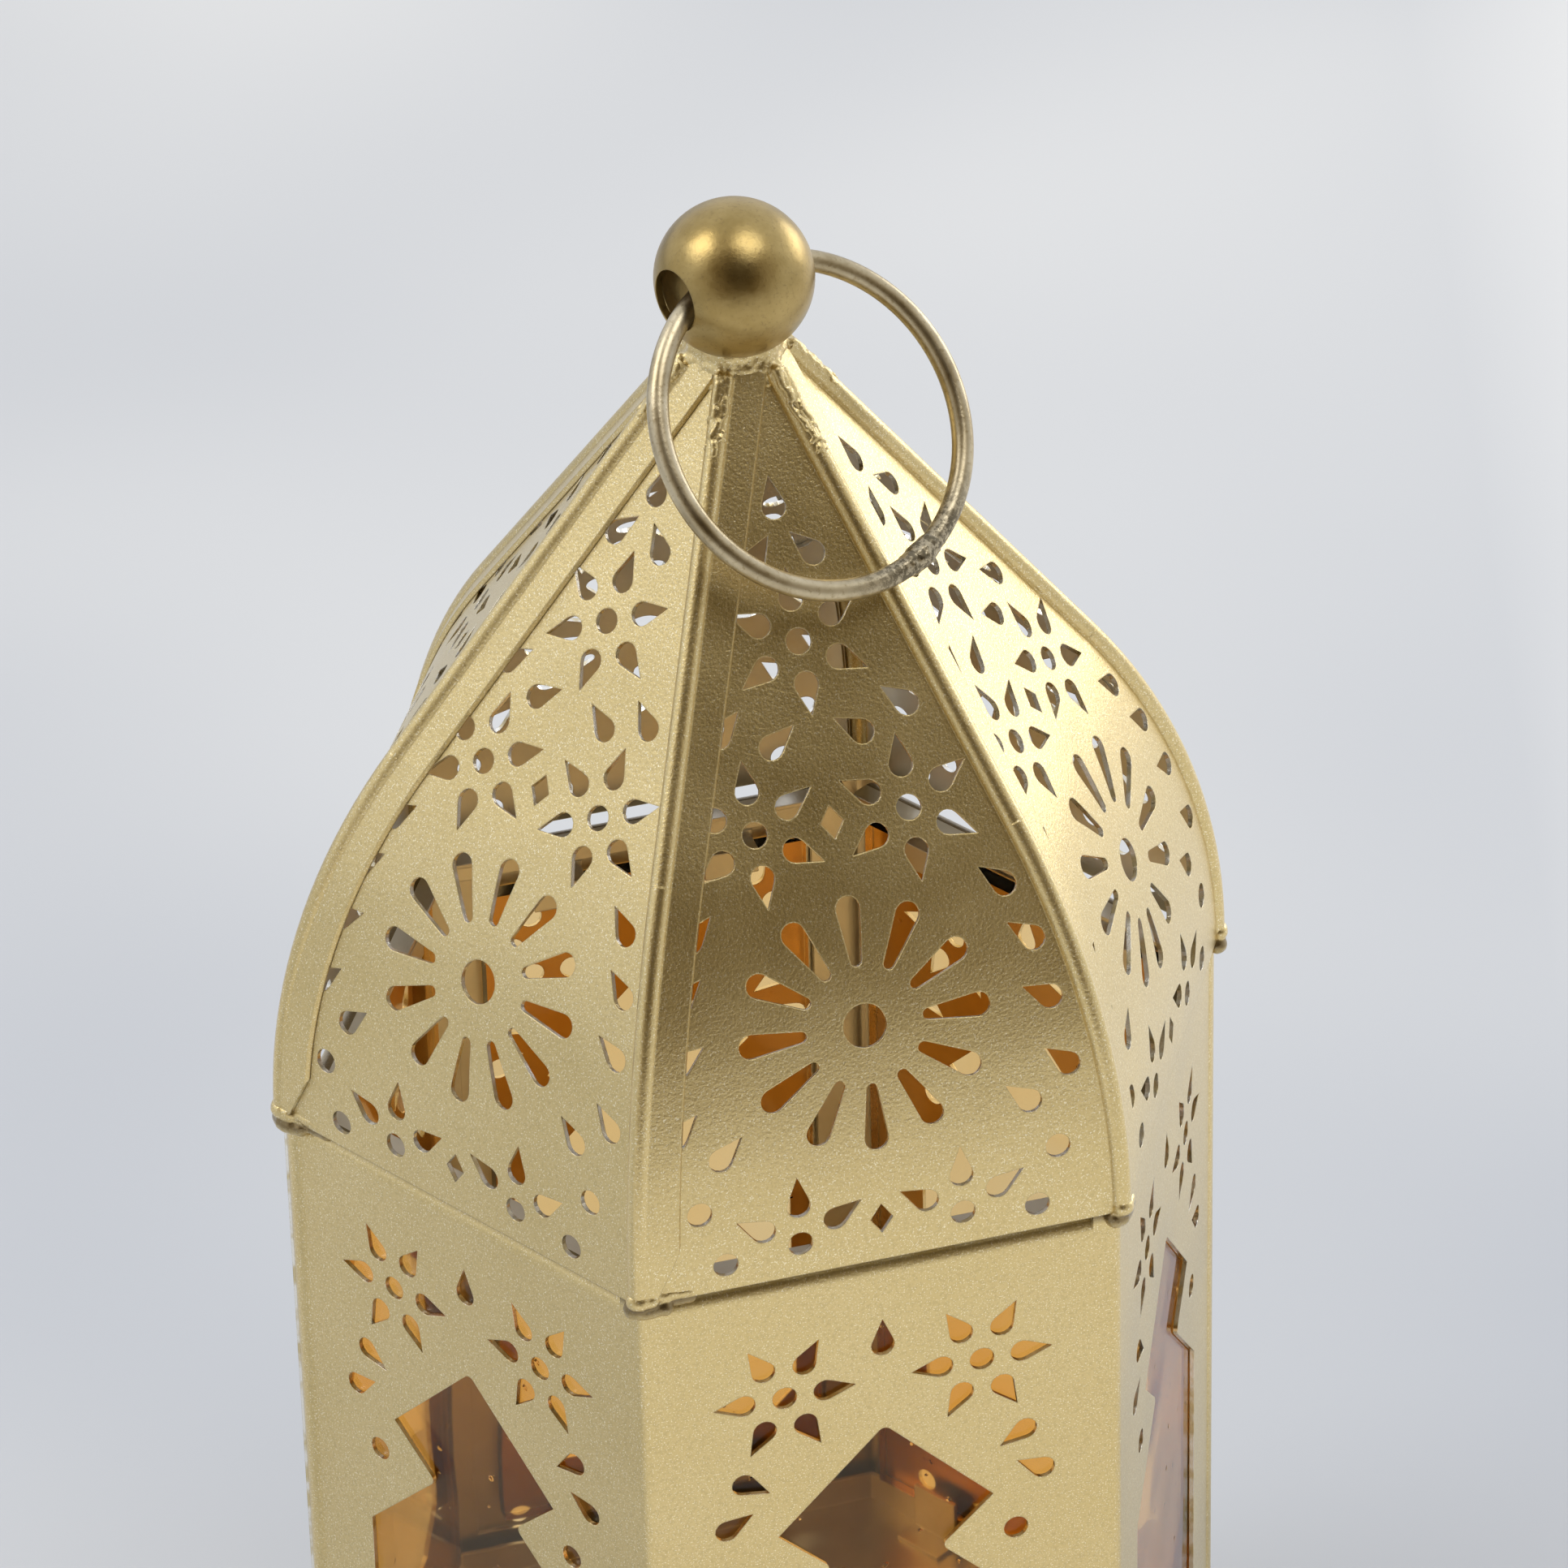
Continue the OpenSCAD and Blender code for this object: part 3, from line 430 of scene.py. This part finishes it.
def neck_solder():
    """Painted solder that fills the neck under the ball, with rough runs down the ridges."""
    low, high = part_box("ball_finial")
    top = (low[2] + high[2]) / 2 - math.sqrt(BALL_R ** 2 - NECK_R ** 2)
    # Rings of drops round the neck: distance to the middle of a side, height over the panels' tops, radius
    rings = ((3.3, 0.3, 1.25), (3.55, -0.5, 1.1), (3.95, -1.2, 0.95), (4.45, -1.9, 0.72), (5.0, -2.6, 0.45))
    drops = []
    for step in range(40):
        degrees = 9 * step
        local = math.radians(degrees % 60 - 30)
        for apothem, height, size in rings:
            reach = apothem / math.cos(local) + uneven(step, apothem, 0.12)
            rise = Vector((0, 0, top + (height + uneven(step, height, 0.15)) * MM))
            drops.append((outward(degrees) * reach * MM + rise, size + uneven(step, size, 0.10)))
    for corner in range(6):
        run = 15 + int(uneven(7, corner, 5))
        for step in range(run):
            height = top - (0.6 + 0.42 * step) * MM
            number = step + 20 * corner
            for side in (-1, 1):
                turn = (0.8 + 6.0 / (1 + 0.12 * step)) * side + uneven(8, number, 3)
                place, normal = skin(60 * corner + turn, height, ROOF)
                size = 0.62 - 0.30 * step / run + uneven(9 + side, number, 0.14)
                if place:
                    drops.append((place - normal * (size - 0.24) * MM, size))
    melted("neck_solder", drops, 0.07, 0.15, "lantern", PAINT, 2.7)


def ring_joint():
    """The ring's joint, a little thicker than its wire."""
    drops = []
    for step in range(19):
        share = step / 18 - 0.5
        place = ring_point(72 + share * 19) + Vector((0, 0, uneven(12, step, 0.10) * MM))
        swell = 0.27 * math.cos(share * math.pi) ** 2
        drops.append((place, 1.13 + swell + uneven(11, step, 0.06)))
    melted("ring_joint", drops, 0.07, 0.12, "ring", RING_BRASS, 8.1)


for corner in range(6):
    eave_solder(corner)
neck_solder()
ring_joint()


# Floor, light and camera -----------------------------------------------------------------------

def floor():
    """Pale cloth with broad soft clouds, and painted light that makes it plain and paler in front of the lantern
    and on its right.
    """
    mesh = bmesh.new()
    bmesh.ops.create_grid(mesh, x_segments=1, y_segments=1, size=6.0)
    bmesh.ops.translate(mesh, vec=(0, 0, -0.2 * MM), verts=mesh.verts)
    data = bpy.data.meshes.new("floor")
    mesh.to_mesh(data)
    mesh.free()
    f = Finish("floor_cloth", (0.70, 0.72, 0.76), 0.0, 0.9, Specular_IOR_Level=0.1)
    clouds = f.spread(f.noise(3.1, 2, 0.45), 0.35, 0.65)
    cloth = f.blend(clouds, (0.53, 0.555, 0.60), (0.76, 0.77, 0.775))
    # Painted light: the cloth is painted paler on the lantern's right and in front of it, as if lit more there.
    painted_light_right = f.spread(f.along((0.96, -0.28, 0)), 0.10, 0.15)
    cloth = f.blend(painted_light_right, cloth, (0.90, 0.90, 0.89))
    painted_light_front = f.spread(f.along((0.35, -0.94, 0)), 0.02, 0.12)
    f.colour(f.blend(painted_light_front, cloth, (0.94, 0.94, 0.93)))
    data.materials.append(f.material)
    piece = bpy.data.objects.new("floor", data)
    bpy.context.scene.collection.objects.link(piece)


def from_lantern(azimuth, elevation):
    """The direction of something seen from the lantern, in degrees from +X and up from the floor."""
    a, e = math.radians(azimuth), math.radians(elevation)
    return Vector((math.cos(a) * math.cos(e), math.sin(a) * math.cos(e), math.sin(e)))


def panel_light(name, azimuth, elevation, distance, width, height, power, colour):
    """A rectangular lamp, turned to the middle of the lantern."""
    data = bpy.data.lights.new(name, "AREA")
    data.shape = "RECTANGLE"
    data.size, data.size_y, data.energy, data.color = width, height, power, colour
    piece = bpy.data.objects.new(name, data)
    bpy.context.scene.collection.objects.link(piece)
    way = from_lantern(azimuth, elevation)
    piece.location = Vector((0, 0, 0.12)) + distance * way
    piece.rotation_euler = (-way).to_track_quat("-Z", "Y").to_euler()


def room():
    """Soft room light: pale all round, dim and warm on the side that the camera stands on."""
    world = bpy.data.worlds.new("room")
    bpy.context.scene.world = world
    world.use_nodes = True
    tree = world.node_tree
    back = tree.nodes["Background"]
    way = tree.nodes.new("ShaderNodeTexCoord").outputs["Generated"]
    dot = tree.nodes.new("ShaderNodeVectorMath")
    dot.operation = "DOT_PRODUCT"
    dot.inputs[1].default_value = from_lantern(-97, 33)
    tree.links.new(way, dot.inputs[0])
    ramp = tree.nodes.new("ShaderNodeValToRGB")
    steps = ((0.25, (0.93, 0.96, 1.03)), (0.62, (0.66, 0.63, 0.57)),
             (0.84, (0.22, 0.155, 0.065)), (0.96, (0.05, 0.03, 0.006)))
    for number, (place, colour) in enumerate(steps):
        stop = ramp.color_ramp.elements[number] if number < 2 else ramp.color_ramp.elements.new(place)
        stop.position, stop.color = place, (*colour, 1)
    tree.links.new(dot.outputs["Value"], ramp.inputs["Fac"])
    tree.links.new(ramp.outputs["Color"], back.inputs["Color"])
    back.inputs["Strength"].default_value = 1.0


def camera():
    """A long lens that looks down on the lantern's top. Its place is counted from the middle of the eave."""
    focal, away = 11022.34, 18.23894
    pitch, roll, yaw = 0.574592, -0.0257742, 0.282219
    sideways, upwards = 0.0585083, -0.4857846
    right = Vector((1, 0, 0))
    up = Vector((0, math.sin(pitch), math.cos(pitch)))
    ahead = Vector((0, math.cos(pitch), -math.sin(pitch)))
    c, s = math.cos(roll), math.sin(roll)
    place = (c * sideways + s * upwards) * right - (c * upwards - s * sideways) * up - away * ahead
    across, upward = c * right + s * up, c * up - s * right
    turn = Matrix.Rotation(-yaw, 3, "Z")
    axes = Matrix((turn @ across, turn @ upward, -(turn @ ahead))).transposed().to_4x4()
    data = bpy.data.cameras.new("camera")
    data.sensor_width = 36
    data.lens = focal / PICTURE_WIDTH * data.sensor_width
    piece = bpy.data.objects.new("camera", data)
    bpy.context.scene.collection.objects.link(piece)
    middle = Vector((0, 0, EAVE))
    piece.matrix_world = Matrix.Translation(turn @ place * CAMERA_UNIT + middle) @ axes
    bpy.context.scene.camera = piece


floor()
room()
panel_light("window_right", 25, 10, 1.1, 0.6, 0.4, 2.5, (1.0, 0.99, 0.97))
panel_light("soft_left", 164, 52, 1.2, 0.55, 0.55, 3.6, (1.0, 0.99, 0.97))
panel_light("soft_top", -45, 70, 1.2, 0.6, 0.6, 3.6, (0.96, 0.98, 1.0))
camera()
bpy.context.scene.view_settings.view_transform = "Standard"
